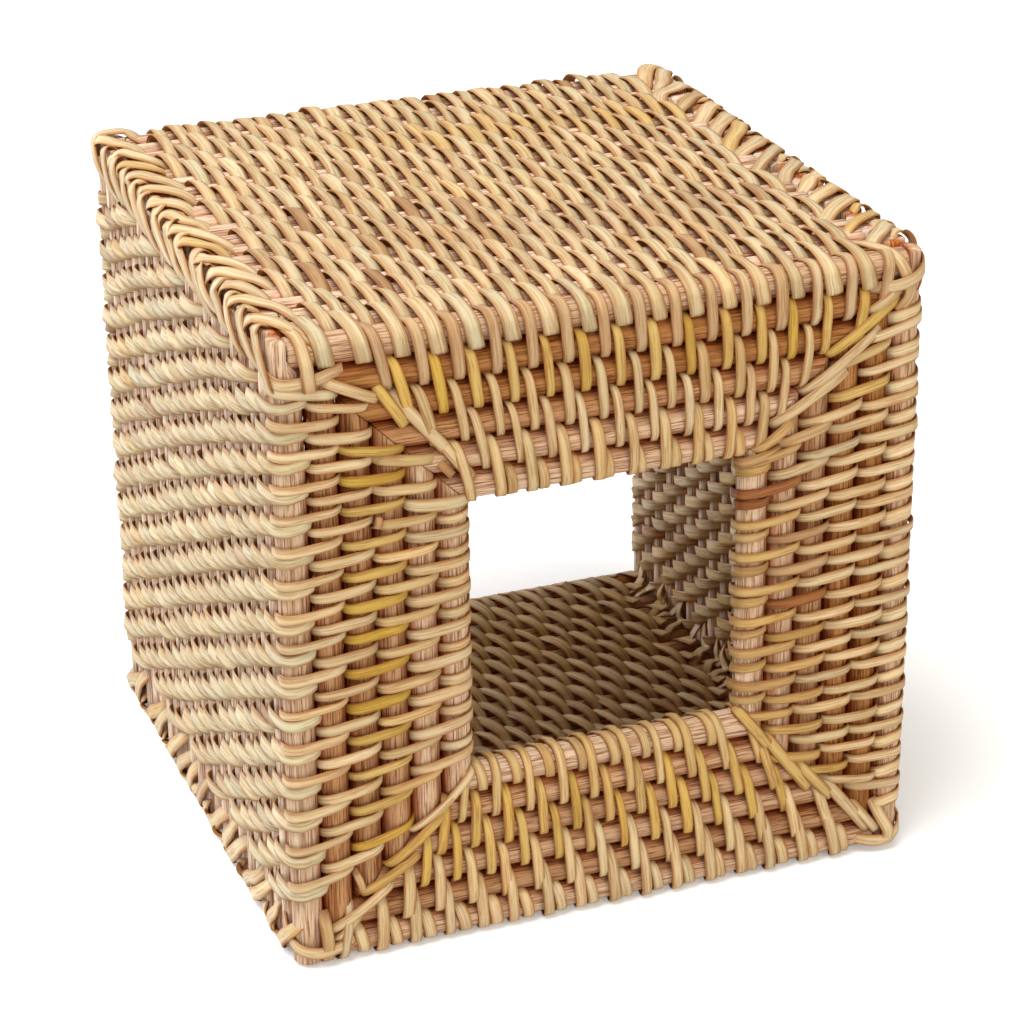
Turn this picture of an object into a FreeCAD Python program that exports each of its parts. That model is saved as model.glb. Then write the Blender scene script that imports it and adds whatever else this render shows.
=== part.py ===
import FreeCAD, Part
import os
from math import floor, pi

import Sketcher
from FreeCAD import Placement, Rotation, Vector

# Tissue box cover of woven rattan, lying on one of its walls.
# X runs across the window face, Y from the window face to the open rim, Z up.
# The origin is in the middle of the underside. All sizes are in millimetres.

SIZES = (
    ("cover_width", "147.0", "outside size across the window face"),
    ("cover_height", "147.0", "outside size from the underside to the top"),
    ("course_count", "21", "square courses of rods from the window face to the open rim"),
    ("face_course_count", "6", "courses from the corner to the window, the corner course included"),
    ("rod_diameter", "5.8", "round rattan rods"),
    ("strip_width", "3.1", "flat cane strip of the stitches"),
    ("strip_thickness", "0.5", "flat cane strip of the stitches"),
    ("strip_clearance", "0.05", "between a strip and what it lies on"),
    ("stitch_gap", "0.8", "between neighbouring stitches on a rod"),
    ("edge_leg", "9.0", "each leg of a strap over an edge, from the outside corner"),
    ("butt_clearance", "0.1", "between the end of a cross rod and the upright that it meets"),
)

# Sizes that follow from the cells
STRIP_BED = "(Sizes.rod_diameter / 2 + Sizes.strip_clearance)"
STRIP_REACH = f"({STRIP_BED} + Sizes.strip_thickness)"
COURSE_PITCH = "(Sizes.rod_diameter + 2 * Sizes.strip_thickness + 4 * Sizes.strip_clearance)"
HALF_WIDTH = f"(Sizes.cover_width / 2 - {STRIP_REACH})"
HALF_HEIGHT = f"(Sizes.cover_height / 2 - {STRIP_REACH})"
MID_HEIGHT = "Sizes.cover_height / 2"

Y_AXIS = Vector(0, 1, 0)
Z_AXIS = Vector(0, 0, 1)
# A band is drawn with its two rods side by side along X and running along Z, then turned onto its side
ON_UPRIGHT_WALL = Rotation(Z_AXIS, 90)
ON_LEVEL_WALL = Rotation(Vector(1, 1, 1), 120)
ON_FACE_UPRIGHT = Rotation()
ON_FACE_CROSS = Rotation(Y_AXIS, 90)

doc = FreeCAD.newDocument("TissueBoxCover")
nodes = []


def make_sheet():
    """The spreadsheet of driving dimensions."""
    cells = doc.addObject("Spreadsheet::Sheet", "Sizes")
    for row, (name, value, meaning) in enumerate(SIZES, start=1):
        cells.set(f"A{row}", meaning)
        cells.set(f"B{row}", value)
        cells.setAlias(f"B{row}", name)
    doc.recompute()
    return cells


def bind(item, expressions):
    """Tie properties of an object to the sheet."""
    for name, expression in expressions.items():
        item.setExpression(name, expression)
    return item


def add_primitive(kind, name, expressions, rotation=Rotation()):
    """A Part primitive with its sizes and place tied to the sheet."""
    item = doc.addObject(kind, name)
    item.Placement = Placement(Vector(), rotation)
    return bind(item, expressions)


def add_node(item, label):
    """Name a finished sub-part, whose label is also the name of its file."""
    item.Label = label
    nodes.append(item)
    return item


def add_group(label, shapes, y=0.0):
    """A sub-part made of separate solids, set in the middle of the cover's height."""
    group = doc.addObject("Part::Feature", label)
    group.Shape = Part.makeCompound(shapes)
    group.Placement = Placement(Vector(0, y, sheet.cover_height / 2), Rotation())
    return add_node(group, label)


def course_place(number):
    """Expression for a course's place along Y, counted from the window face."""
    return f"({number} - (Sizes.course_count + 1) / 2) * {COURSE_PITCH}"


def course_rods(name, steps):
    """Four rods of one square course, a number of pitches inside the outer course."""
    half_x = f"({HALF_WIDTH} - {steps} * {COURSE_PITCH})"
    half_z = f"({HALF_HEIGHT} - {steps} * {COURSE_PITCH})"
    upright_half = f"({half_z} + Sizes.rod_diameter / 2)"
    cross_half = f"({half_x} - Sizes.rod_diameter / 2 - Sizes.butt_clearance)"
    radius = {"Radius": "Sizes.rod_diameter / 2"}
    rods = []
    for side, sign in (("left", "-"), ("right", "")):
        place = {"Placement.Base.x": f"{sign}{half_x}", "Placement.Base.z": f"-{upright_half}"}
        size = {"Height": f"2 * {upright_half}"}
        rods.append(add_primitive("Part::Cylinder", f"{name}_{side}_rod", radius | size | place))
    for side, sign in (("bottom", "-"), ("top", "")):
        place = {"Placement.Base.x": f"-{cross_half}", "Placement.Base.z": f"{sign}{half_z}"}
        size = {"Height": f"2 * {cross_half}"}
        turn = Rotation(Y_AXIS, 90)
        rods.append(add_primitive("Part::Cylinder", f"{name}_{side}_rod", radius | size | place, turn))
    return rods


def add_course(label, rods, number):
    """One course of rods as a sub-part."""
    course = doc.addObject("Part::Compound", label)
    course.Links = rods
    bind(course, {"Placement.Base.y": course_place(number), "Placement.Base.z": MID_HEIGHT})
    return add_node(course, label)


def draw_slot(sketch, name, radius):
    """Closed outline round a pair of rods: two half circles joined by two straight runs."""
    start_half = 3.5
    start_radius = 3.0
    ends = Vector(start_half, 0, 0)
    rise = Vector(0, start_radius, 0)
    right = Part.ArcOfCircle(Part.Circle(ends, Z_AXIS, start_radius), -pi / 2, pi / 2)
    left = Part.ArcOfCircle(Part.Circle(-ends, Z_AXIS, start_radius), pi / 2, 3 * pi / 2)
    upper = Part.LineSegment(ends + rise, rise - ends)
    lower = Part.LineSegment(-ends - rise, ends - rise)
    arc_r, line_u, arc_l, line_l = (sketch.addGeometry(curve, False) for curve in (right, upper, left, lower))
    start, end, centre = 1, 2, 3
    x_axis, origin_point = -1, 1
    for one, other in ((arc_r, line_u), (line_u, arc_l), (arc_l, line_l), (line_l, arc_r)):
        sketch.addConstraint(Sketcher.Constraint("Tangent", one, end, other, start))
    sketch.addConstraint(Sketcher.Constraint("Equal", arc_r, arc_l))
    sketch.addConstraint(Sketcher.Constraint("PointOnObject", arc_r, centre, x_axis))
    sketch.addConstraint(Sketcher.Constraint("Symmetric", arc_l, centre, arc_r, centre, x_axis, origin_point))
    across = sketch.addConstraint(
        Sketcher.Constraint("DistanceX", arc_l, centre, arc_r, centre, 2 * start_half)
    )
    size = sketch.addConstraint(Sketcher.Constraint("Radius", arc_r, start_radius))
    sketch.renameConstraint(across, f"{name}_pitch")
    sketch.renameConstraint(size, f"{name}_radius")
    bind(sketch, {f"Constraints.{name}_pitch": COURSE_PITCH, f"Constraints.{name}_radius": radius})


def stitch_shape():
    """One stitch: a flat strip once round two neighbouring rods."""
    body = doc.addObject("PartDesign::Body", "Stitch")
    sketch = body.newObject("Sketcher::SketchObject", "StitchOutline")
    plane = next(item for item in body.Origin.OriginFeatures if item.Role == "XY_Plane")
    sketch.AttachmentSupport = [(plane, "")]
    sketch.MapMode = "FlatFace"
    draw_slot(sketch, "bed", STRIP_BED)
    draw_slot(sketch, "reach", STRIP_REACH)
    pad = body.newObject("PartDesign::Pad", "StitchWidth")
    pad.Profile = sketch
    bind(pad, {"Length": "Sizes.strip_width"})
    bind(body, {"Placement.Base.z": "-Sizes.strip_width / 2"})
    doc.recompute()
    return body.Shape


def wrap_shape():
    """One wrap: a flat strip once round a single rod."""
    place = {"Height": "Sizes.strip_width", "Placement.Base.z": "-Sizes.strip_width / 2"}
    wrap = doc.addObject("Part::Cut", "Wrap")
    wrap.Base = add_primitive("Part::Cylinder", "WrapReach", {"Radius": STRIP_REACH} | place)
    wrap.Tool = add_primitive("Part::Cylinder", "WrapBed", {"Radius": STRIP_BED} | place)
    doc.recompute()
    return wrap.Shape


def edge_strap_shape():
    """One strap bent at a right angle over an edge, with its inner corner at the origin."""
    inner_leg = "(Sizes.edge_leg - Sizes.strip_thickness)"
    low = {"Placement.Base.y": "-Sizes.strip_width / 2", "Placement.Base.z": f"-{inner_leg}"}
    width = {"Width": "Sizes.strip_width"}
    outside = {"Length": "Sizes.edge_leg", "Height": "Sizes.edge_leg"}
    inside = {"Length": inner_leg, "Height": inner_leg}
    corner = {"Placement.Base.x": "-Sizes.strip_thickness"}
    strap = doc.addObject("Part::Cut", "EdgeStrap")
    strap.Base = add_primitive("Part::Box", "EdgeStrapOutside", outside | width | low | corner)
    strap.Tool = add_primitive("Part::Box", "EdgeStrapInside", inside | width | low)
    doc.recompute()
    return strap.Shape


def mitre_strap_shape():
    """One flat strap along a diagonal of the window face, from one course to the next."""
    length = f"({COURSE_PITCH} * sqrt(2) - Sizes.stitch_gap)"
    size = {"Length": length, "Width": "Sizes.strip_thickness", "Height": "Sizes.strip_width"}
    middle = {"Placement.Base.x": f"-{length} / 2", "Placement.Base.z": "-Sizes.strip_width / 2"}
    strap = add_primitive("Part::Box", "MitreStrap", size | middle)
    doc.recompute()
    return strap.Shape


def placed(shape, base, rotation=Rotation()):
    """A copy of a shape, turned and moved."""
    copy = shape.copy()
    copy.Placement = Placement(base, rotation).multiply(shape.Placement)
    return copy


def stitch_places(half_span, row):
    """Places of a row's stitches along its rods. Rows next to each other are half a step apart."""
    step = 2 * (sheet.strip_width + sheet.stitch_gap)
    shift = step / 2 * (row % 2)
    limit = half_span - sheet.strip_width / 2
    most = floor(limit / step) + 1
    places = (shift + number * step for number in range(-most, most + 1))
    return [place for place in places if abs(place) <= limit]


def ring_of(shape, half_x, half_z, spans, row, turns):
    """Stitches along the left, right, top and bottom of a square, in that order."""
    span_x, span_z = spans
    turn_upright, turn_level = turns
    sides = {}
    for side, x in (("left", -half_x), ("right", half_x)):
        places = stitch_places(span_z, row)
        sides[side] = [placed(shape, Vector(x, 0, z), turn_upright) for z in places]
    for side, z in (("top", half_z), ("bottom", -half_z)):
        places = stitch_places(span_x, row)
        sides[side] = [placed(shape, Vector(x, 0, z), turn_level) for x in places]
    return sides


def all_of(sides):
    """The stitches of every side in one list."""
    return [stitch for side in sides.values() for stitch in side]


sheet = make_sheet()
course_count = int(sheet.course_count)
face_course_count = int(sheet.face_course_count)
rod_radius = sheet.rod_diameter / 2
strip_bed = rod_radius + sheet.strip_clearance
strip_reach = strip_bed + sheet.strip_thickness
course_pitch = sheet.rod_diameter + 2 * sheet.strip_thickness + 4 * sheet.strip_clearance
half_width = sheet.cover_width / 2 - strip_reach
half_height = sheet.cover_height / 2 - strip_reach
front_y = -(course_count - 1) / 2 * course_pitch
courses = range(1, course_count + 1)
face_courses = range(2, face_course_count + 1)

# Courses of rods
wall_rods = course_rods("wall", 0)
for course in courses:
    add_course(f"course_{course:02d}", wall_rods, course)
for course in face_courses:
    add_course(f"face_course_{course}", course_rods(f"face_{course}", course - 1), 1)

stitch = stitch_shape()
wrap = wrap_shape()
edge_strap = edge_strap_shape()
mitre_strap = mitre_strap_shape()

# Lashings of the walls: each row ties a course to the next, clear of the straps over the edges.
# The first and last rows on the underside are a sub-part of their own, because the cover stands on them.
edge_margin = sheet.edge_leg + sheet.stitch_gap
wall_spans = (sheet.cover_width / 2 - edge_margin, sheet.cover_height / 2 - edge_margin)
wall_turns = (ON_UPRIGHT_WALL, ON_LEVEL_WALL)
underside = []
for row in courses[:-1]:
    row_y = front_y + (row - 0.5) * course_pitch
    sides = ring_of(stitch, half_width, half_height, wall_spans, row, wall_turns)
    if row in (1, course_count - 1):
        underside += [placed(band, Vector(0, row_y, 0)) for band in sides.pop("bottom")]
    add_group(f"lashing_{row:02d}", all_of(sides), row_y)
add_group("underside_lashing", underside)

# Lashings of the window face: each row ties a course to the next one inwards
face_turns = (ON_FACE_UPRIGHT, ON_FACE_CROSS)
for row in range(1, face_course_count):
    inset = (row - 0.5) * course_pitch
    margin = row * course_pitch + strip_reach + sheet.stitch_gap
    spans = (half_width - margin, half_height - margin)
    sides = ring_of(stitch, half_width - inset, half_height - inset, spans, row + 1, face_turns)
    add_group(f"face_lashing_{row}", all_of(sides), front_y)

# Wraps round the rods at the window, between the stitches of the last face lashing
inset = (face_course_count - 1) * course_pitch
margin = inset + strip_reach + sheet.stitch_gap
spans = (half_width - margin, half_height - margin)
sides = ring_of(wrap, half_width - inset, half_height - inset, spans, face_course_count + 1, face_turns)
add_group("window_binding", all_of(sides), front_y)

# Wraps round the rods at the open rim, between the stitches of the last wall lashing
sides = ring_of(wrap, half_width, half_height, wall_spans, course_count, wall_turns)
add_group("rim_binding", all_of(sides), -front_y)

# Straps over the four edges that run from the window face to the rim, one for each course
edge_x = half_width + strip_bed
edge_z = half_height + strip_bed
edge_corners = (
    ("top_left", -edge_x, edge_z, 0),
    ("top_right", edge_x, edge_z, 90),
    ("bottom_right", edge_x, -edge_z, 180),
    ("bottom_left", -edge_x, -edge_z, 270),
)
for corner, x, z, angle in edge_corners:
    turn = Rotation(Y_AXIS, angle)
    rows = (front_y + (course - 1) * course_pitch for course in courses)
    add_group(f"edge_binding_{corner}", [placed(edge_strap, Vector(x, y, z), turn) for y in rows])

# Straps along the diagonals of the window face
straps = []
for row in range(1, face_course_count):
    inset = (row - 0.5) * course_pitch
    for sign_x, sign_z in ((-1, 1), (1, 1), (1, -1), (-1, -1)):
        turn = Rotation(Y_AXIS, 45 * sign_x * sign_z * -1)
        base = Vector(sign_x * (half_width - inset), -strip_reach, sign_z * (half_height - inset))
        straps.append(placed(mitre_strap, base, turn))
add_group("mitre_straps", straps, front_y)

doc.recompute()
for item in doc.Objects:
    if "Invalid" in item.State or "Error" in item.State:
        raise RuntimeError(f"{item.Label} failed: {item.State}")
for node in nodes:
    if node.Shape.isNull() or not node.Shape.isValid() or not node.Shape.Solids:
        raise RuntimeError(f"{node.Label} has no valid solids")

os.makedirs("parts", exist_ok=True)
for node in nodes:
    node.Shape.exportStep(f"parts/{node.Label}.step")
print(len(nodes), "sub-parts,", sum(len(node.Shape.Solids) for node in nodes), "solids")
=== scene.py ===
"""Looks of a woven rattan tissue box cover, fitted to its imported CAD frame.

The cover is drawn in millimetres: X across the window face, Y from the window face to the open rim, Z up.
Meshes are turned into metres when they are made.
"""

import logging
import math
from abc import ABC, abstractmethod
from dataclasses import dataclass, replace
from enum import Enum
from typing import Any, ClassVar, Dict, List, Optional, Sequence, Tuple

import bpy
import numpy as np
from mathutils import Matrix, Vector

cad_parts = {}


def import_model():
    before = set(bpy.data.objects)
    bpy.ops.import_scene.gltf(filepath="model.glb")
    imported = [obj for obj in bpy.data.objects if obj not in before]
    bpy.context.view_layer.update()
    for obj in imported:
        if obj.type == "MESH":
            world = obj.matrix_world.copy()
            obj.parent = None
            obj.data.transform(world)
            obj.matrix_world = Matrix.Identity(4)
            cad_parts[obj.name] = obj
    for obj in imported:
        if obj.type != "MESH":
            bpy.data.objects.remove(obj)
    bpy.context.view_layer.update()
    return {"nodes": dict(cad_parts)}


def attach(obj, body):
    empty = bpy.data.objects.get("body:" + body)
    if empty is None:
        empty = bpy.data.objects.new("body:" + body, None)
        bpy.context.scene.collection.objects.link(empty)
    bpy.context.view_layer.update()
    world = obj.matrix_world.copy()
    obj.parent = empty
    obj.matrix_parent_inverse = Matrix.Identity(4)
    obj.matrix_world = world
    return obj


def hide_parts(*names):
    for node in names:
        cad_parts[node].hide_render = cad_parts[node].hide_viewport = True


LOG = logging.getLogger("tissue_box_cover")
BODY = "root"
METRES_PER_MM = 0.001
Colour = Tuple[float, float, float]
Point = Tuple[float, float, float]
Pair = Tuple[float, float]


class Slot(Enum):
    """Material slots."""

    ROD = "rod"
    STRIP = "strip"


class Side(Enum):
    """Sides of the square, in the order in which a strip is wound round it, with their turn from the top."""

    LEFT = -90
    TOP = 0
    RIGHT = 90
    BOTTOM = 180


class Family(Enum):
    """Groups of rows that are stained alike."""

    WALL = "wall"
    FACE = "face"


@dataclass(frozen=True)
class CoverSizes:
    """Main sizes of the cover, as in its CAD frame."""

    half_span: float = 70.05
    half_outside: float = 73.5
    mid_height: float = 73.5
    pitch: float = 7.0
    front: float = -70.0
    course_count: int = 21
    face_course_count: int = 6
    rod_radius: float = 3.4
    edge_margin: float = 10.4

    def course_y(self, course: int) -> float:
        """Place of a course along Y."""
        return self.front + (course - 1) * self.pitch

    def to_world(self, local: np.ndarray, side: Side) -> np.ndarray:
        """Turn points of the top side, with heights over the middle, onto another side of the square."""
        return self.turn(local, side) + (0.0, 0.0, self.mid_height)

    @staticmethod
    def turn(local: np.ndarray, side: Side) -> np.ndarray:
        """Turn directions of the top side onto another side.

        Args:
            local: Directions on the top side.
            side: Side that they belong to.

        Returns:
            The turned directions.
        """
        angle = math.radians(side.value)
        cosine, sine = math.cos(angle), math.sin(angle)
        along, depth, height = local[..., 0], local[..., 1], local[..., 2]
        return np.stack([along * cosine + height * sine, depth, height * cosine - along * sine], -1)


SIZES = CoverSizes()


def unit(vectors: np.ndarray) -> np.ndarray:
    """Vectors scaled to length one."""
    return vectors / np.maximum(np.linalg.norm(vectors, axis=-1, keepdims=True), 1e-9)


def smooth_line(points: Sequence[Sequence[float]], samples: int) -> np.ndarray:
    """Smooth curve through control points.

    Args:
        points: Control points, in order.
        samples: Steps from each control point to the next.

    Returns:
        Points along the curve, both ends included.
    """
    knots = np.asarray(points, float)
    padded = np.vstack([2 * knots[0] - knots[1], knots, 2 * knots[-1] - knots[-2]])
    steps = np.linspace(0, 1, samples, endpoint=False)[:, None]
    runs = []
    for number in range(len(knots) - 1):
        before, start, end, after = padded[number:number + 4]
        runs.append(0.5 * (2 * start + (end - before) * steps
                           + (2 * before - 5 * start + 4 * end - after) * steps ** 2
                           + (3 * start - before - 3 * end + after) * steps ** 3))
    return np.vstack(runs + [knots[-1:]])


@dataclass(frozen=True)
class StripSection:
    """Section of a split cane strip: flat below, gently domed above, with a thin edge."""

    across: Tuple[float, ...] = (-0.5, -0.43, -0.2, 0.2, 0.43, 0.5, 0.4, -0.4)
    height: Tuple[float, ...] = (0.42, 0.9, 1.0, 1.0, 0.9, 0.42, 0.0, 0.0)
    edge: Tuple[float, ...] = (1.0, 0.7, 0.06, 0.06, 0.7, 1.0, 0.8, 0.8)
    caps: Tuple[Tuple[int, ...], ...] = ((0, 1, 2, 7), (7, 2, 3, 6), (6, 3, 4, 5))


@dataclass(frozen=True)
class Stain:
    """Colour of a strip: how golden, brown and straw-coloured it is, from 0 to 1, and how light it is."""

    gold: float = 0.0
    brown: float = 0.0
    tone: float = 1.0
    straw: float = 0.3


class MeshBatch:
    """Collects rods or strips into one mesh, with values on its points for the material."""

    stuff: str = "rods"
    sharp_angle: float = 48.0

    def __init__(self) -> None:
        """Start with nothing in it."""
        self.points: List[np.ndarray] = []
        self.quads: List[np.ndarray] = []
        self.values: Dict[str, List[np.ndarray]] = {}
        self.count = 0

    def add_tube(self, rings: np.ndarray, caps: np.ndarray, values: Dict[str, np.ndarray]) -> None:
        """Add a closed tube.

        Args:
            rings: Points of its rings, in rings by points by 3.
            caps: Quads that close an end, as places on a ring.
            values: Values for the points, in rings by points, or by 3 for a vector.
        """
        length, around = rings.shape[:2]
        index = np.arange(length * around).reshape(length, around) + self.count
        ahead = np.roll(index, -1, axis=1)
        sides = np.stack([index[:-1], ahead[:-1], ahead[1:], index[1:]], -1).reshape(-1, 4)
        self.points.append(rings.reshape(-1, 3))
        self.quads += [sides, index[0][caps[:, ::-1]], index[-1][caps]]
        for name, value in values.items():
            self.values.setdefault(name, []).append(value.reshape(length * around, -1))
        self.count += length * around

    def make(self, name: str, material: bpy.types.Material) -> bpy.types.Object:
        """Make the mesh object.

        Args:
            name: Name of the piece.
            material: Its material.

        Returns:
            The new object, linked into the scene.
        """
        mesh = bpy.data.meshes.new(name)
        points = np.vstack(self.points) * METRES_PER_MM
        mesh.from_pydata(points.tolist(), [], np.vstack(self.quads).tolist())
        for value_name, runs in self.values.items():
            value = np.vstack(runs).astype(np.float32)
            kind = "FLOAT_VECTOR" if value.shape[1] == 3 else "FLOAT"
            layer = mesh.attributes.new(value_name, kind, "POINT")
            layer.data.foreach_set("vector" if value.shape[1] == 3 else "value", value.ravel())
        mesh.polygons.foreach_set("use_smooth", np.ones(len(mesh.polygons), bool))
        mesh.set_sharp_from_angle(angle=math.radians(self.sharp_angle))
        mesh.materials.append(material)
        mesh.validate()
        mesh.update()
        piece = bpy.data.objects.new(name, mesh)
        bpy.context.scene.collection.objects.link(piece)
        return piece


class StripBatch(MeshBatch):
    """Collects cane strips."""

    stuff: str = "cane"
    section: StripSection = StripSection()
    grain_along: float = 0.05
    seed_range: float = 50.0
    seed_step: float = 11.7
    strap_tone: Pair = (1.0, 0.03)
    end_shade: float = 0.55
    end_power: int = 4

    def __init__(self, seed: int) -> None:
        """Start with a seed for the grain of its strips."""
        super().__init__()
        self.rng = np.random.default_rng(seed)

    def add_strip(self, path: np.ndarray, outward: np.ndarray, width: np.ndarray, thickness: float,
                  stain: Dict[str, np.ndarray], painted_shade: np.ndarray) -> None:
        """Add one strip that lies with its flat side along a path.

        Args:
            path: Points under the middle of the strip.
            outward: Direction of its skin side at each point.
            width: Width at each point.
            thickness: Thickness at the middle.
            stain: Values gold, brown, straw and tone at each point.
            painted_shade: How much painted shade each point gets, from 0 to 1, deepest between rods.
        """
        tangent = unit(np.gradient(path, axis=0))
        outward = unit(outward - (outward * tangent).sum(-1, keepdims=True) * tangent)
        across = np.cross(tangent, outward)
        share = np.asarray(self.section.across)
        rise = np.asarray(self.section.height) * thickness
        offset = share[None, :] * width[:, None]
        rings = path[:, None] + across[:, None] * offset[..., None] + outward[:, None] * rise[None, :, None]
        along = np.concatenate([[0.0], np.cumsum(np.linalg.norm(np.diff(path, axis=0), axis=1))])
        seed = self.rng.uniform(0, self.seed_range)
        grain = np.stack([offset + seed * self.seed_step,
                          np.broadcast_to(rise[None, :], offset.shape),
                          np.broadcast_to(along[:, None] * self.grain_along + seed, offset.shape)], -1)
        values = {name: np.broadcast_to(value[:, None], offset.shape) for name, value in stain.items()}
        values |= {"grain": grain, "painted_shade": np.broadcast_to(painted_shade[:, None], offset.shape),
                   "edge": np.broadcast_to(np.asarray(self.section.edge), offset.shape)}
        self.add_tube(rings, np.asarray(self.section.caps), values)

    def add_strap(self, points: Sequence[Point], skin: Sequence[Point], stain: Stain,
                  width: float = 2.9, thickness: float = 0.6, samples: int = 6) -> None:
        """Add a single strap through control points.

        Args:
            points: Control points under the strap.
            skin: Direction of its skin side at each of them.
            stain: Its colour.
            width: Its width.
            thickness: Its thickness.
            samples: Steps between control points.
        """
        path = smooth_line(points, samples)
        outward = unit(smooth_line(skin, samples))
        ones = np.ones(len(path))
        tone = stain.tone * self.rng.normal(*self.strap_tone)
        colour = {"gold": ones * stain.gold, "brown": ones * stain.brown, "straw": ones * stain.straw,
                  "tone": ones * tone}
        # Painted shade at both ends of the strap, where it tucks in.
        ends = np.abs(np.linspace(-1, 1, len(path))) ** self.end_power
        self.add_strip(path, outward, ones * width, thickness, colour, self.end_shade * ends)


@dataclass(frozen=True)
class HalfTurn:
    """Half a turn of a strip over its rods, from the groove before them to the groove behind them.

    Pairs are the distance across from the first rod's axis and the height over it, for a strip that hugs the
    rods and for one that stands off them.
    """

    tight: Tuple[Pair, ...]
    loose: Tuple[Pair, ...]

    def sampled(self, samples: int, back: bool) -> Tuple[np.ndarray, np.ndarray]:
        """Points of the half turn without its last one.

        Args:
            samples: Steps between two pairs.
            back: Whether it is the half that runs back along the other face of the rods.

        Returns:
            Points of the hugging and of the loose strip.
        """
        shapes = [smooth_line(pairs, samples)[:-1] for pairs in (self.tight, self.loose)]
        if back:
            reach = self.tight[0][0] + self.tight[-1][0]
            shapes = [np.array((reach, 0.0)) - shape for shape in shapes]
        return shapes[0], shapes[1]


STITCH = HalfTurn(
    ((-3.4, 0.0), (-3.25, 1.35), (-2.45, 2.6), (-0.9, 3.4), (1.0, 3.5), (3.5, 3.45), (6.0, 3.45), (7.9, 3.35),
     (9.5, 2.45), (10.35, 1.25), (10.4, 0.0)),
    ((-3.4, 0.0), (-3.75, 1.6), (-3.5, 3.1), (-2.3, 4.2), (-0.3, 4.8), (2.2, 4.95), (4.8, 4.5), (7.2, 3.8),
     (9.4, 2.65), (10.4, 1.25), (10.4, 0.0)))
WRAP = HalfTurn(((-3.45, 0.0), (-2.5, 2.45), (0.0, 3.45), (2.5, 2.45), (3.45, 0.0)),
                ((-3.45, 0.0), (-2.8, 2.8), (-0.3, 4.0), (2.6, 2.7), (3.45, 0.0)))


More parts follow.
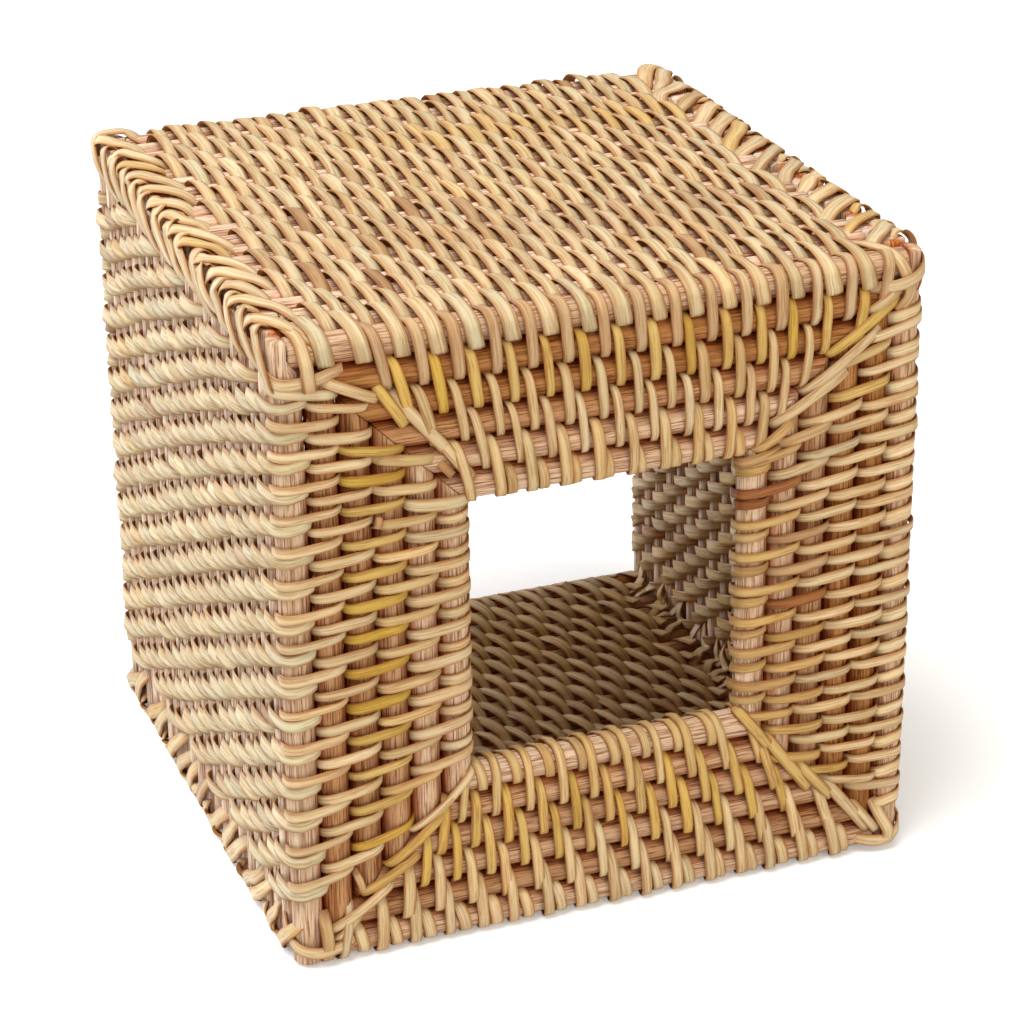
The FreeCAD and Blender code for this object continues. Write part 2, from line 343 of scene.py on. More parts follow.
@dataclass
class Winding:
    """A strip wound along a row of one or two rods on one side of the cover.

    Turns lie a step apart from first to last. Pause is how long a strip stays level before it moves on, slack how
    far it stands off the rods, and fan how far its stitches lean towards the mitres. A strip is narrower in the
    grooves and has painted shade there, but not at a start or an end that is open to view.
    """

    first: float
    last: float
    start: float
    step: float = 7.8
    half: HalfTurn = STITCH
    pause: float = 0.7
    width: float = 2.65
    width_spread: float = 0.06
    thickness: float = 0.58
    slack: Pair = (0.3, 1.0)
    inner_slack: Pair = (0.2, 0.8)
    fan: float = 0.0
    fan_lag: float = 0.85
    fan_reach: float = 13.0
    wobble: float = 0.3
    roll: Pair = (0.0, 0.1)
    squeeze: float = 0.0
    open_start: bool = False
    open_end: bool = False
    narrowing: float = 0.28
    narrow_power: float = 0.6
    # Painted shade in the grooves: its strength, and how far out from the rods it fades.
    groove_shade: float = 0.85
    groove_depth: float = 1.7

    def laid(self, place: Any, way: int = -1) -> Any:
        """Even places moved to where the turns lie, closer together towards the end, or back with way 1."""
        return place + way * self.squeeze * (place / SIZES.half_span) ** 2

    def turns(self) -> np.ndarray:
        """Even places of the turns, within the row's reach."""
        lowest = math.ceil((self.laid(self.first, 1) - self.start) / self.step)
        highest = math.floor((self.laid(self.last, 1) - self.start) / self.step)
        return self.start + self.step * np.arange(lowest, highest + 1)

    def wind(self, rng: np.random.Generator) -> Dict[str, np.ndarray]:
        """Trace the whole strip.

        Args:
            rng: Source of its small irregularities.

        Returns:
            Values along, across, out, their normals, turn (which turn a point is on), width and painted_shade, the
            painted shade in the grooves.
        """
        shapes = [self.half.sampled(samples, back) for samples, back in ((2, False), (1, True))]
        tight, loose = (np.vstack(pair) for pair in zip(*shapes))
        size, outer_size = len(tight), len(shapes[0][0])
        length = np.linalg.norm(np.diff(tight, axis=0, append=tight[:1]), axis=1)
        mark = np.concatenate([[0.0], np.cumsum(length)[:-1]]) / length.sum()
        middle = 0.5 * mark[outer_size]
        swing = (np.sin(2 * math.pi * (mark - middle)) + math.sin(2 * math.pi * middle)) / (2 * math.pi)
        places = self.turns()
        number = len(places)
        spare = outer_size + (size - outer_size) // 2
        cut = slice(spare, spare + number * size)
        turn = np.repeat(np.arange(number + 1), size)[cut]
        spot = np.tile(np.arange(size), number + 1)[cut]
        outer = spot < outer_size
        half_run = np.where(outer, mark[spot] / mark[outer_size],
                            (mark[spot] - mark[outer_size]) / (1 - mark[outer_size]))
        bow = np.sin(math.pi * half_run)
        progress = turn - 1.0 + (mark - self.pause * swing)[spot]
        drift = np.interp(progress, np.arange(-1, number + 1), rng.normal(0, self.wobble, number + 2))
        lean = self._fan_at(places[0] + self.step * (turn - self.fan_lag))
        spread = np.where(outer, half_run - 0.5, 0.5 - half_run) * lean
        slack = np.where(outer, rng.uniform(*self.slack, number + 1)[turn],
                         rng.uniform(*self.inner_slack, number + 1)[turn])
        path = tight[spot] + slack[:, None] * (loose - tight)[spot]
        ahead = unit(np.gradient(path, axis=0))
        along = self.laid(places[0] + self.step * progress + drift) + spread
        tucked = ~np.where(path[:, 0] < 0.5 * sum(self.half.tight[-1]), self.open_start, self.open_end)
        roll = rng.normal(*self.roll, (number + 1, 2))[turn, outer.astype(int)]
        width = self.width * rng.normal(1, self.width_spread, number + 1)[turn]
        # Painted shade where the strip dips into a groove, left off at a start or an end that is open to view.
        groove = np.clip(self.groove_shade - np.abs(path[:, 1]) / self.groove_depth, 0, 1)
        return {"along": along, "across": path[:, 0], "out": path[:, 1], "turn": turn - 1.0,
                "normal_along": roll * bow, "normal_across": -ahead[:, 1], "normal_out": ahead[:, 0],
                "width": width * (1 - self.narrowing * tucked * (1 - bow ** self.narrow_power)),
                "painted_shade": tucked * groove}

    def _fan_at(self, place: np.ndarray) -> np.ndarray:
        """Shift from the outer to the inner end of a stitch, for strips that fan out towards the two mitres."""
        opening, closing = (np.exp(-np.clip(run, 0, None) / self.fan_reach)
                            for run in (place - self.first, self.last - place))
        return self.fan * (opening - closing)


@dataclass(frozen=True)
class StainRun:
    """A stretch of a row that is stained."""

    row: int
    gold: float = 0.0
    brown: float = 0.0
    first: float = -80.0
    last: float = 80.0


STAINS: Dict[Tuple[Family, Side], Tuple[StainRun, ...]] = {
    (Family.FACE, Side.TOP): (StainRun(1, brown=0.36), StainRun(2, 0.85), StainRun(3, 0.18), StainRun(5, 0.3, 0.1)),
    (Family.FACE, Side.LEFT): (StainRun(1, 0.05), StainRun(3, 0.85), StainRun(4, 0.35, 0.08)),
    (Family.FACE, Side.RIGHT): (StainRun(2, 0.6, last=-42), StainRun(3, 0.7, 0.1, first=40),
                                StainRun(4, 0.1, 0.8, -14, 10), StainRun(4, 0.6, 0.25, first=10),
                                StainRun(5, 0.5, 0.3), StainRun(5, 0.1, 0.9, -28, -20)),
    (Family.FACE, Side.BOTTOM): (StainRun(5, 0.4, 0.1), StainRun(4, 0.75, 0.1), StainRun(3, 0.7), StainRun(2, 0.15)),
    (Family.WALL, Side.TOP): (StainRun(16, 0.5, first=-10), StainRun(17, 0.4, 0.1, first=-20),
                              StainRun(11, 0.3, first=-30, last=30), StainRun(7, 0.1, 0.35),
                              StainRun(6, brown=0.2, first=-20)),
    (Family.WALL, Side.RIGHT): (StainRun(12, 0.5), StainRun(5, brown=0.35)),
    (Family.WALL, Side.LEFT): (StainRun(18, 0.35),),
    (Family.WALL, Side.BOTTOM): (*(StainRun(row, 0.35, 0.08) for row in range(15, 20)),
                                 *(StainRun(row, 0.1, 0.2) for row in (9, 11, 12, 14))),
}


class RowStain:
    """Colours of the turns of one row on one side. Pairs are a mean and a spread, or a lowest and a highest value."""

    wall_straw: Dict[Side, float] = {Side.LEFT: 0.75, Side.TOP: 0.5, Side.RIGHT: 0.45, Side.BOTTOM: 0.35}
    face_straw: float = 0.2
    straw_spread: float = 0.15
    # Painted light: the right wall's strips are made lighter, standing for light on its inside that shows through the
    # window.
    right_wall_painted_light: float = 1.12
    row_tone: Pair = (1.0, 0.035)
    turn_tone: Pair = (1.0, 0.05)
    plain_gold: Pair = (0.06, 0.05)
    plain_brown: Pair = (0.03, 0.03)
    spot_share: float = 0.03
    spot_brown: Pair = (0.25, 0.7)
    run_gold: Pair = (0.7, 1.2)
    run_brown: Pair = (0.6, 1.25)

    def __init__(self, family: Family, side: Side, row: int, rng: np.random.Generator) -> None:
        """Keep the stained stretches of this row.

        Args:
            family: Wall or face.
            side: Side of the square.
            row: Number of the row.
            rng: Source of the differences from turn to turn.
        """
        wall = family is Family.WALL
        self.runs = [run for run in STAINS[family, side] if run.row == row]
        self.rng = rng
        # Painted light: the right wall's strips are lighter.
        self.tone = rng.normal(*self.row_tone) * (self.right_wall_painted_light if wall and side is Side.RIGHT else 1.0)
        self.straw = self.wall_straw[side] if wall else self.face_straw
        self.spots = self.spot_share if wall else 0.0

    def values(self, places: np.ndarray, turn: np.ndarray) -> Dict[str, np.ndarray]:
        """Colour values at each point of a strip.

        Args:
            places: Places of the turns along the side.
            turn: Which turn each point is on.

        Returns:
            Values gold, brown, straw and tone.
        """
        rng, number = self.rng, len(places)
        gold = rng.normal(*self.plain_gold, number)
        brown = np.where(rng.random(number) < self.spots, rng.uniform(*self.spot_brown, number), 0.0)
        brown = brown + rng.normal(*self.plain_brown, number)
        for run in self.runs:
            inside = (places >= run.first) & (places <= run.last)
            gold = np.where(inside, run.gold * rng.uniform(*self.run_gold, number), gold)
            brown = np.where(inside, run.brown * rng.uniform(*self.run_brown, number), brown)
        tone = self.tone * rng.normal(*self.turn_tone, number)
        straw = rng.normal(self.straw, self.straw_spread, number)
        pick = np.clip(turn.astype(int), 0, number - 1)
        shares = {"gold": gold, "brown": brown, "straw": straw}
        return {name: np.clip(share, 0, 1)[pick] for name, share in shares.items()} | {"tone": tone[pick]}


class NodeSheet:
    """Short way to write down a node tree."""

    def __init__(self, tree: bpy.types.NodeTree) -> None:
        """Work on a tree."""
        self.tree = tree
        self.place = 0

    @classmethod
    def of(cls, owner: Any) -> "NodeSheet":
        """Sheet of a new material or world, emptied of its first nodes.

        Args:
            owner: The material or world.

        Returns:
            The sheet.
        """
        owner.use_nodes = True
        owner.node_tree.nodes.clear()
        return cls(owner.node_tree)

    def add(self, kind: str, values: Optional[Dict[Any, Any]] = None, **settings: Any) -> bpy.types.Node:
        """Add a node.

        Args:
            kind: Blender's name for the node type.
            values: Input values, or sockets to link from, by input name or number.
            settings: Properties of the node.

        Returns:
            The new node.
        """
        node = self.tree.nodes.new(kind)
        node.location = (self.place * 40, -(self.place % 6) * 160)
        self.place += 1
        for name, value in settings.items():
            setattr(node, name, value)
        for name, value in (values or {}).items():
            if isinstance(value, bpy.types.NodeSocket):
                self.tree.links.new(value, node.inputs[name])
            else:
                node.inputs[name].default_value = value
        return node

    def value(self, name: str, kind: str = "Fac") -> bpy.types.NodeSocket:
        """A number kept on the mesh's points, or a vector with kind Vector."""
        return self.add("ShaderNodeAttribute", attribute_name=name).outputs[kind]

    def mix(self, blend: str, factor: Any, first: Any, second: Any) -> bpy.types.NodeSocket:
        """Mix two colours.

        Args:
            blend: Blender's name for the blend mode.
            factor: Number or socket.
            first: Colour or socket.
            second: Colour or socket.

        Returns:
            The mixed colour.
        """
        first, second = (colour if isinstance(colour, bpy.types.NodeSocket) else (*colour, 1.0)
                         for colour in (first, second))
        node = self.add("ShaderNodeMix", {0: factor, 6: first, 7: second}, data_type="RGBA",
                        blend_type=blend, clamp_factor=True)
        return node.outputs[2]

    def math(self, operation: str, first: Any, second: Any = 0.0) -> bpy.types.NodeSocket:
        """Work out one number from two."""
        return self.add("ShaderNodeMath", {0: first, 1: second}, operation=operation).outputs[0]

    def noise(self, grain: bpy.types.NodeSocket, scale: Any, detail: float, roughness: float) -> bpy.types.NodeSocket:
        """Noise along the grain."""
        values = {"Vector": grain, "Scale": scale, "Detail": detail, "Roughness": roughness}
        return self.add("ShaderNodeTexNoise", values).outputs["Fac"]

    def remap(self, value: bpy.types.NodeSocket, span: Pair, target: Pair = (0.0, 1.0)) -> bpy.types.NodeSocket:
        """Stretch a number from one range to another, held at the ends."""
        return self.add("ShaderNodeMapRange", {0: value, **dict(enumerate(span + target, 1))}).outputs[0]


class PlantGroups:
    """Shader node groups that rods and strips share."""

    def __init__(self) -> None:
        """Build the groups once."""
        self.fibre = self._fibre()
        self.mottle = self._mottle()

    @staticmethod
    def _open(name: str, knob: str) -> Tuple[NodeSheet, Any, Any]:
        """Start a group that works on the grain and has one number to set.

        Args:
            name: Name of the group.
            knob: Name of the number.

        Returns:
            Sheet of the group, the grain and the number.
        """
        tree = bpy.data.node_groups.new(name, "ShaderNodeTree")
        for socket, kind in (("Grain", "NodeSocketVector"), (knob, "NodeSocketFloat")):
            tree.interface.new_socket(socket, in_out="INPUT", socket_type=kind)
        sheet = NodeSheet(tree)
        source = sheet.add("NodeGroupInput")
        return sheet, source.outputs["Grain"], source.outputs[knob]

    @staticmethod
    def _close(sheet: NodeSheet, masks: Dict[str, Any]) -> bpy.types.NodeTree:
        """Put masks out of a group.

        Args:
            sheet: Sheet of the group.
            masks: Sockets by the names of the outputs.

        Returns:
            The finished group.
        """
        for name in masks:
            sheet.tree.interface.new_socket(name, in_out="OUTPUT", socket_type="NodeSocketFloat")
        sheet.add("NodeGroupOutput", masks)
        return sheet.tree

    def _fibre(self) -> bpy.types.NodeTree:
        """Lengthwise fibre: thin dark lines, and their relief.

        Returns:
            The group, with inputs Grain and Fineness and outputs Lines and Relief.
        """
        sheet, grain, fineness = self._open("LengthwiseFibre", "Fineness")
        broad = sheet.noise(grain, fineness, 2.0, 0.55)
        fine = sheet.noise(grain, sheet.math("MULTIPLY", fineness, 2.7), 3.0, 0.6)
        broad_lines = sheet.math("MULTIPLY", sheet.remap(broad, (0.5, 0.66)), 0.7)
        lines = sheet.math("MAXIMUM", broad_lines, sheet.remap(fine, (0.5, 0.62)))
        level = sheet.math("SUBTRACT", 1.0, sheet.math("MULTIPLY", lines, 0.8))
        relief = sheet.math("ADD", level, sheet.math("MULTIPLY", fine, 0.4))
        return self._close(sheet, {"Lines": lines, "Relief": relief})

    def _mottle(self) -> bpy.types.NodeTree:
        """Soft patches of lighter and darker colour: inputs Grain and Size, output Patches."""
        sheet, grain, size = self._open("Mottle", "Size")
        return self._close(sheet, {"Patches": sheet.remap(sheet.noise(grain, size, 4.0, 0.6), (0.36, 0.66))})


@dataclass(frozen=True)
class PlantFinish:
    """Finish of rods or strips: a ground with patches, stains, dark lines along it and painted shade in the hollows.

    Each stain is the name of a value on the mesh's points with the colour that it brings in. The skin of a
    strip darkens towards its edges.
    """

    name: str
    pale: Colour
    fresh: Colour
    line: Colour
    shade: Colour
    stains: Tuple[Tuple[str, Colour], ...]
    fineness: float
    line_depth: float
    roughness: Pair
    relief: float
    edge: Optional[Colour] = None
    coat: float = 0.0
    coat_roughness: float = 0.35
    patch_size: float = 0.55
    line_height: float = 0.00012
    specular: float = 0.12

    def material(self, groups: PlantGroups) -> bpy.types.Material:
        """Make the material.

        Args:
            groups: Shared groups.

        Returns:
            The material.
        """
        material = bpy.data.materials.new(self.name)
        sheet = NodeSheet.of(material)
        grain = sheet.value("grain", "Vector")
        fibre = sheet.add("ShaderNodeGroup", {"Grain": grain, "Fineness": self.fineness}, node_tree=groups.fibre)
        mottle = sheet.add("ShaderNodeGroup", {"Grain": grain, "Size": self.patch_size}, node_tree=groups.mottle)
        colour = sheet.mix("MIX", mottle.outputs["Patches"], self.pale, self.fresh)
        for name, stain in self.stains:
            colour = sheet.mix("MIX", sheet.value(name), colour, stain)
        if self.edge:
            colour = sheet.mix("MULTIPLY", sheet.value("edge"), colour, self.edge)
        lines = fibre.outputs["Lines"]
        colour = sheet.mix("MULTIPLY", sheet.math("MULTIPLY", lines, self.line_depth), colour, self.line)
        # Painted shade: the shade colour is multiplied in by the painted_shade value, between rods, in the grooves
        # and at tucked strap ends.
        colour = sheet.mix("MULTIPLY", sheet.value("painted_shade"), colour, self.shade)
        tone = sheet.add("ShaderNodeCombineColor", dict.fromkeys(("Red", "Green", "Blue"), sheet.value("tone")))
        colour = sheet.mix("MULTIPLY", 1.0, colour, tone.outputs["Color"])
        bump = sheet.add("ShaderNodeBump", {"Strength": self.relief, "Distance": self.line_height,
                                            "Height": fibre.outputs["Relief"]})
        surface = sheet.add("ShaderNodeBsdfPrincipled", {
            "Base Color": colour, "Roughness": sheet.remap(lines, (0.0, 1.0), self.roughness),
            "Normal": bump.outputs["Normal"], "Specular IOR Level": self.specular,
            "Coat Weight": self.coat, "Coat Roughness": self.coat_roughness})
        sheet.add("ShaderNodeOutputMaterial", {"Surface": surface.outputs["BSDF"]})
        return material


# Peeled round rattan: pinkish beige, matt, with dark pores along it.
ROD_FINISH = PlantFinish(
    "peeled_rattan", (0.85, 0.65, 0.48), (0.72, 0.48, 0.29), (0.34, 0.18, 0.09), (0.6, 0.2, 0.03),
    (("straw", (0.86, 0.75, 0.6)), ("brown", (0.46, 0.21, 0.065))),
    fineness=1.05, line_depth=0.9, roughness=(0.55, 0.8), relief=0.45)
# Split cane with its skin on: pale straw, some golden or brown, slightly glossy.
CANE_FINISH = PlantFinish(
    "split_cane", (0.75, 0.575, 0.36), (0.67, 0.475, 0.25), (0.64, 0.45, 0.27), (0.6, 0.24, 0.06),
    (("straw", (0.675, 0.62, 0.42)), ("gold", (0.6, 0.39, 0.06)), ("brown", (0.34, 0.13, 0.035))),
    fineness=0.95, line_depth=0.7, roughness=(0.38, 0.6), relief=0.3, edge=(0.56, 0.29, 0.11), coat=0.15)


@dataclass
class SubAssembly(ABC):
    """Pieces of one material, each in the place of one CAD node."""

    material: bpy.types.Material

    @abstractmethod
    def build(self) -> None:
        """Build and dress the pieces."""

    def settle(self, batch: MeshBatch, slot: Slot, node: str) -> None:
        """Make a piece, put it on the cover's body in place of a CAD node, and report it.

        Args:
            batch: Rods or strips of the piece.
            slot: Material slot; not used.
            node: CAD node that it stands for.
        """
        piece = batch.make(f"{batch.stuff}_{node}", self.material)
        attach(piece, BODY)
        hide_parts(node)
        LOG.info("%s: %d faces, for %s", piece.name, len(piece.data.polygons), node)


class RodEnd(Enum):
    """How the ends of a rod are cut."""

    SQUARE = "square"
    MITRE = "mitre"


@dataclass
class Rod:
    """One round rod of a course, with slightly uneven thickness, on one side of the square."""

    half_length: float
    half: float
    depth: float
    side: Side
    neighbours: Sequence[Point]
    ends: RodEnd = RodEnd.SQUARE
    brown: float = 0.0
    straw: float = 0.0
    lapped: Tuple[bool, bool] = (False, False)
    lap: float = 4.2
    lap_height: float = 0.4
    mitre_gap: float = 0.04
    segments: int = 22
    spacing: float = 3.2
    bevel: float = 0.3
    end_share: float = 0.45
    knots: int = 9
    thickness: Pair = (1.0, 0.014)
    thickness_limits: Pair = (0.96, 1.03)
    bend: float = 0.07
    tone: Pair = (1.0, 0.06)
    brown_spread: float = 0.12
    shade_power: float = 2.0
    grain_along: float = 0.04
    seed_range: float = 60.0

    def add_to(self, batch: MeshBatch, rng: np.random.Generator) -> None:
        """Add the rod to a batch.

        Args:
            batch: Batch of rods.
            rng: Source of its irregularities.
        """
        reach = self.half_length
        inner = np.linspace(self.bevel - reach, reach - self.bevel, max(int(2 * reach / self.spacing), 4))
        along = np.concatenate([[-reach, -reach], inner, [reach, reach]])
        knots = np.linspace(-reach, reach, self.knots)
        uneven = np.clip(rng.normal(*self.thickness, self.knots), *self.thickness_limits)
        radius = np.interp(along, knots, SIZES.rod_radius * uneven)
        radius[[0, -1]] *= self.end_share
        radius[[1, -2]] -= self.bevel
        bend = np.interp(along, knots, rng.normal(0, self.bend, self.knots))
        angle = np.linspace(0, 2 * math.pi, self.segments, endpoint=False)
        spoke = np.stack([np.zeros_like(angle), np.cos(angle), np.sin(angle)], -1)
        rings = np.array((0.0, self.depth, self.half)) + spoke[None] * radius[:, None, None]
        rings[..., 2] += bend[:, None]
        rings[..., 0] = along[:, None]
        if self.ends is RodEnd.MITRE:
            rings[..., 0] *= (rings[..., 2] - self.mitre_gap) / self.half
        for lapped, cut in zip(self.lapped, (along < self.lap - reach, along > reach - self.lap)):
            if lapped:
                rings[cut, :, 2] = np.maximum(rings[cut, :, 2], self.half + self.lap_height)
        shape = rings.shape[:2]
        # Painted shade on the sides of the rod that face its neighbours.
        neighbour_shade = np.clip((spoke @ unit(np.asarray(self.neighbours, float)).T).max(1), 0, 1) ** self.shade_power
        grain = np.empty((*shape, 3))
        grain[..., :2] = spoke[:, 1:] * SIZES.rod_radius
        grain[..., 2] = along[:, None] * self.grain_along + rng.uniform(0, self.seed_range)
        values = {"grain": grain, "tone": np.full(shape, rng.normal(*self.tone)),
                  "brown": np.full(shape, np.clip(rng.normal(self.brown, self.brown_spread), 0, 1)),
                  "straw": np.full(shape, self.straw), "painted_shade": np.broadcast_to(neighbour_shade, shape)}
        half = self.segments // 2
        caps = np.array([(k, k + 1, self.segments - 2 - k, self.segments - 1 - k) for k in range(half - 1)])
        batch.add_tube(SIZES.to_world(rings, self.side), caps[:, ::-1], values)


@dataclass
class Courses(SubAssembly):
    """All the square courses of rods, on the walls and on the window face."""

    butt: float = 0.1
    browns: Tuple[float, ...] = (0.08, 0.95, 0.88, 0.65, 0.25, 0.12)
    bottom_share: float = 0.75
    # Painted shade: the bottom wall's rods are stained dark brown, standing for the shade on them between the strips
    # of the inside floor.
    floor_rods_painted_shade: float = 0.75
    upright_straw: float = 0.7
    level_straw: float = 0.3
    seed: int = 100
    face_seed: int = 150

    def build(self) -> None:
        """Build and dress each course."""
        for course in range(1, SIZES.course_count + 1):
            self._wall_course(course)
        for course in range(2, SIZES.face_course_count + 1):
            self._face_course(course)

    def _wall_course(self, course: int) -> None:
        """Build a course that goes round the four walls; the front one is the first on the face too.

        Args:
            course: Its number, from the front.
        """
        near = [(0.0, 1.0, 0.0)] if course < SIZES.course_count else []
        near += [(0.0, -1.0, 0.0)] if course > 1 else [(0.0, 0.0, -1.0)]
        rng, batch = np.random.default_rng(self.seed + course), MeshBatch()
        for side in Side:
            through = side in (Side.LEFT, Side.RIGHT)
            reach = SIZES.half_span + (SIZES.rod_radius if through else -SIZES.rod_radius - self.butt)
            # Painted shade: dark brown on the bottom wall's rods.
            rod = Rod(reach, SIZES.half_span, SIZES.course_y(course), side, near,
                      brown=self.floor_rods_painted_shade if side is Side.BOTTOM else 0.0,
                      straw=self.upright_straw if through else self.level_straw)
            if course == 1:
                rod.brown, rod.straw = self.browns[0], 0.0
                rod.lapped = (side is Side.RIGHT, side is Side.LEFT)
                if side is Side.TOP:
                    rod.half_length = SIZES.half_span - self.butt
            rod.add_to(batch, rng)
        self.settle(batch, Slot.ROD, f"course_{course:02d}")

    def _face_course(self, course: int) -> None:
        """Build a smaller course of the window face, with mitred rods.

        Args:
            course: Its number, from the edge.
        """
        half = SIZES.half_span - (course - 1) * SIZES.pitch
        near = [(0.0, 0.0, 1.0)] + ([(0.0, 0.0, -1.0)] if course < SIZES.face_course_count else [])
        rng, batch = np.random.default_rng(self.face_seed + course), MeshBatch()
        for side in Side:
            brown = self.browns[course - 1] * (self.bottom_share if side is Side.BOTTOM else 1.0)
            Rod(half, half, SIZES.front, side, near, RodEnd.MITRE, brown).add_to(batch, rng)
        self.settle(batch, Slot.ROD, f"face_course_{course}")


@dataclass(frozen=True)
class Spacing:
    """Spacing of the stitches along one side of the square.

    The first wall row has a stitch at start, and each row behind it lies shift further back along the side.
    The first face row leads the first wall row, and gaps are from each face row to the next one and to the
    window binding. Margins are kept free of face rows at the two mitres. Stitches stand a step apart at the
    front and a wall_step further back, and squeeze brings them closer together towards the end of the side.
    The third and fourth face rows run late beyond their end margin.
    """

    start: float
    shift: float
    step: float
    wall_step: float
    lead: float
    gaps: Tuple[float, ...]
    margins: Pair
    tighten: float = 0.0
    squeeze: float = 0.0
    late: float = 0.0


SPACINGS: Dict[Side, Spacing] = {
    Side.LEFT: Spacing(0.5, 3.4, 7.76, 8.45, 3.4, (3.55, 3.55, 3.55, 3.45, 3.2), (7.5, 4.0), squeeze=6.0),
    Side.TOP: Spacing(0.2, 3.4, 8.15, 8.75, 5.2, (3.5, 3.9, 3.4, 3.0, 2.1), (12.0, 6.0), tighten=0.13),
    Side.RIGHT: Spacing(2.5, 3.1, 8.05, 8.1, 4.5, (4.5, 4.3, 3.9, 3.6, 3.2), (10.0, 9.0), late=6.2),
    Side.BOTTOM: Spacing(1.7, 3.0, 7.8, 7.8, 4.1, (2.3, 3.15, 3.3, 3.5, 2.8), (8.5, 8.5)),
}


@dataclass
class Row:
    """A row of stitches on one side, wound on a wall from its back rod or on the face from its outer rod.

    The base is the back rod's place along Y, or the outer rod's distance from the middle.
    """

    family: Family
    side: Side
    base: float
    winding: Winding
    stain: RowStain

    def add_to(self, batch: StripBatch) -> None:
        """Wind the strip and add it to a batch.

        Args:
            batch: Batch of strips.
        """
        trace = self.winding.wind(batch.rng)
        normal = self._local(trace["normal_along"], trace["normal_across"], trace["normal_out"])
        path = self._local(trace["along"], trace["across"], trace["out"])
        path += (0.0, self.base, SIZES.half_span) if self.family is Family.WALL else (0.0, SIZES.front, self.base)
        colour = self.stain.values(self.winding.turns(), trace["turn"])
        batch.add_strip(SIZES.to_world(path, self.side), SIZES.turn(normal, self.side), trace["width"],
                        self.winding.thickness, colour, trace["painted_shade"])

    def _local(self, along: np.ndarray, across: np.ndarray, out: np.ndarray) -> np.ndarray:
        """Directions along the row, from rod to rod and away from the rods, as directions on the top side."""
        return np.stack([along, -across, out] if self.family is Family.WALL else [along, -out, -across], -1)


@dataclass(frozen=True)
class WallFit:
    """How loosely the strips lie on a wall, and the mean and spread of their widths."""

    slack: Pair
    width: Pair
    inner_slack: Pair = (0.2, 0.8)


@dataclass
class WallLashings(SubAssembly):
    """Rows of stitches that tie each course to the next on the four walls."""

    seed: int = 300
    settling_rows: float = 20.0
    first_reach: float = 2.6
    end_gap: float = 1.5
    roll: Pair = (0.14, 0.1)
    plain: WallFit = WallFit((0.2, 0.9), (3.2, 0.12))
    fits: ClassVar[Dict[Side, WallFit]] = {
        Side.LEFT: WallFit((0.1, 0.6), (3.3, 0.15)),
        Side.TOP: WallFit((0.25, 0.95), (3.75, 0.15)),
        Side.BOTTOM: WallFit((-0.15, 0.0), (2.8, 0.1), (0.4, 1.0)),
    }

    def winding(self, side: Side, row: int, rng: np.random.Generator) -> Winding:
        """How a row is wound.

        Args:
            side: Wall.
            row: Number of the row, from the window face.
            rng: Source of its width.

        Returns:
            The winding.
        """
        spacing = SPACINGS[side]
        behind = min((row - 1) / self.settling_rows, 1.0)
        limit = SIZES.half_outside - SIZES.edge_margin
        first = limit + self.first_reach if side is Side.TOP and row == 1 else limit
        winding = Winding(-first, limit - self.end_gap, spacing.start - (row - 1) * spacing.shift,
                          spacing.step + behind * (spacing.wall_step - spacing.step),
                          width=rng.normal(*self.plain.width), slack=self.plain.slack, roll=self.roll,
                          squeeze=spacing.squeeze * (1.0 - behind), open_start=row == SIZES.course_count - 1,
                          open_end=row == 1)
        fit = self.fits.get(side)
        if fit:
            winding.slack, winding.inner_slack = fit.slack, fit.inner_slack
            winding.width = rng.normal(*fit.width)
        return winding

    def build(self) -> None:
        """Build and dress each row."""
        underside = StripBatch(self.seed)
        for row in range(1, SIZES.course_count):
            batch = StripBatch(self.seed + row)
            for side in Side:
                alone = side is Side.BOTTOM and row in (1, SIZES.course_count - 1)
                target = underside if alone else batch
                stain = RowStain(Family.WALL, side, row, target.rng)
                winding = self.winding(side, row, target.rng)
                Row(Family.WALL, side, SIZES.course_y(row + 1), winding, stain).add_to(target)
            self.settle(batch, Slot.STRIP, f"lashing_{row:02d}")
        self.settle(underside, Slot.STRIP, "underside_lashing")


